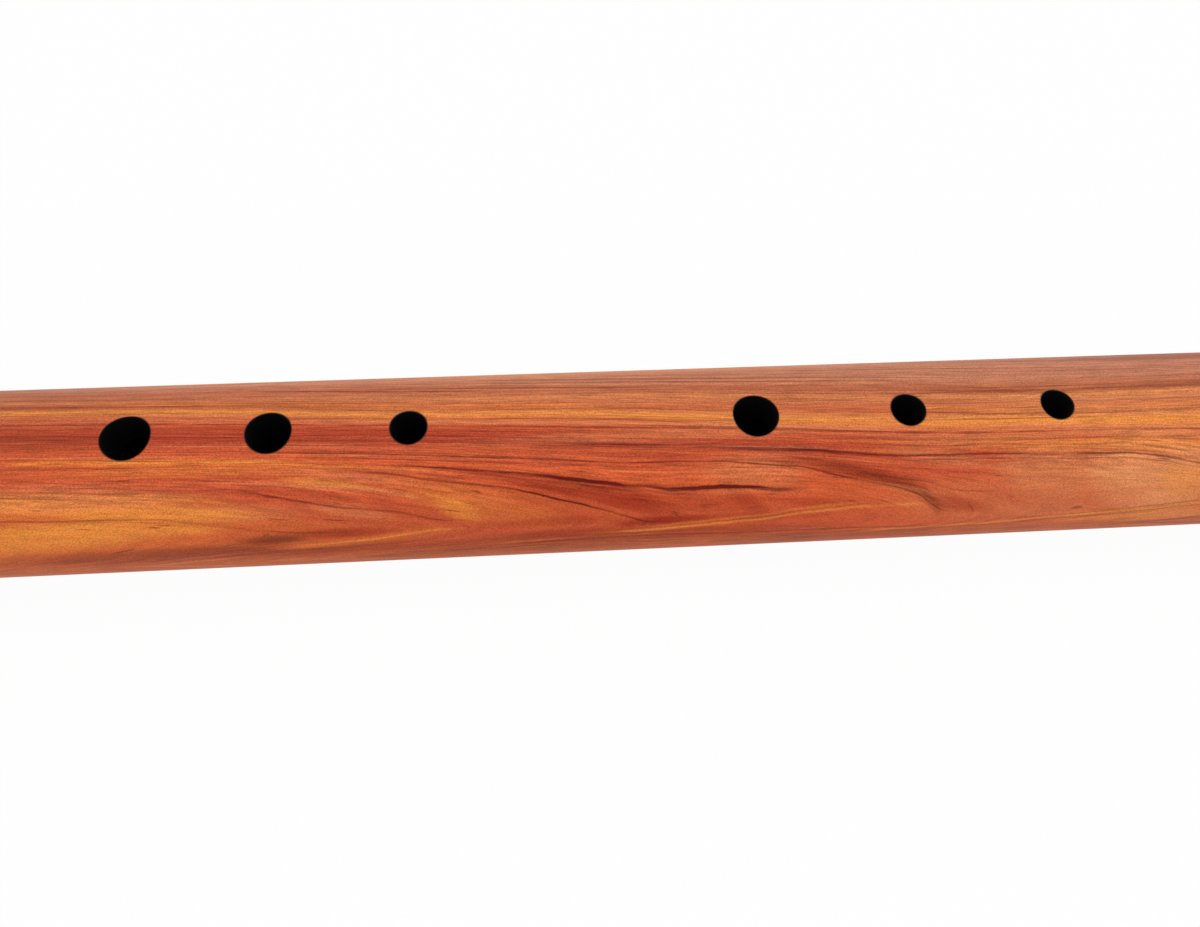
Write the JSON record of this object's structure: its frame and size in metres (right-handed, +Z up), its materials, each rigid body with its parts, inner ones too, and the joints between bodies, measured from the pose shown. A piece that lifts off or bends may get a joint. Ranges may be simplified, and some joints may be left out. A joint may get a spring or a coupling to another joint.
{
  "type": "native american flute",
  "caption": "Wooden duct flute with finger holes, a breath chamber and a sounding bore, and a saddle block tied over its flue with a leather lace.",
  "frame": {"origin": "bottom centre of the part's box, on the surface that the flute lies on, half-way between mouth and foot", "axes": "+X along the bore from the mouth to the foot, +Z up through the finger holes, +Y to the left of someone looking from the mouth to the foot"},
  "size_m": [0.6604, 0.0356, 0.0509],
  "materials": {
    "cedar": "oiled red cedar, satin",
    "cedar_light": "plain cedar, sanded",
    "cedar_dark": "oiled dark red cedar heartwood, satin",
    "hide_lace": "soft brown hide, matt"
  },
  "bodies": {
    "barrel": {"barrel_upper_half": "cedar", "barrel_lower_half": "cedar", "mouthpiece": "cedar", "chamber_plug": "cedar_light", "spacer_plate": "cedar_light"},
    "block": {"block": "cedar_dark", "block_tie": "hide_lace", "tie_knot": "hide_lace"}
  },
  "joints": [
    {"name": "block_slide", "type": "slide", "parent": "barrel", "child": "block", "axis": [1, 0, 0], "range_m": [-0.003, 0.0015]}
  ]
}
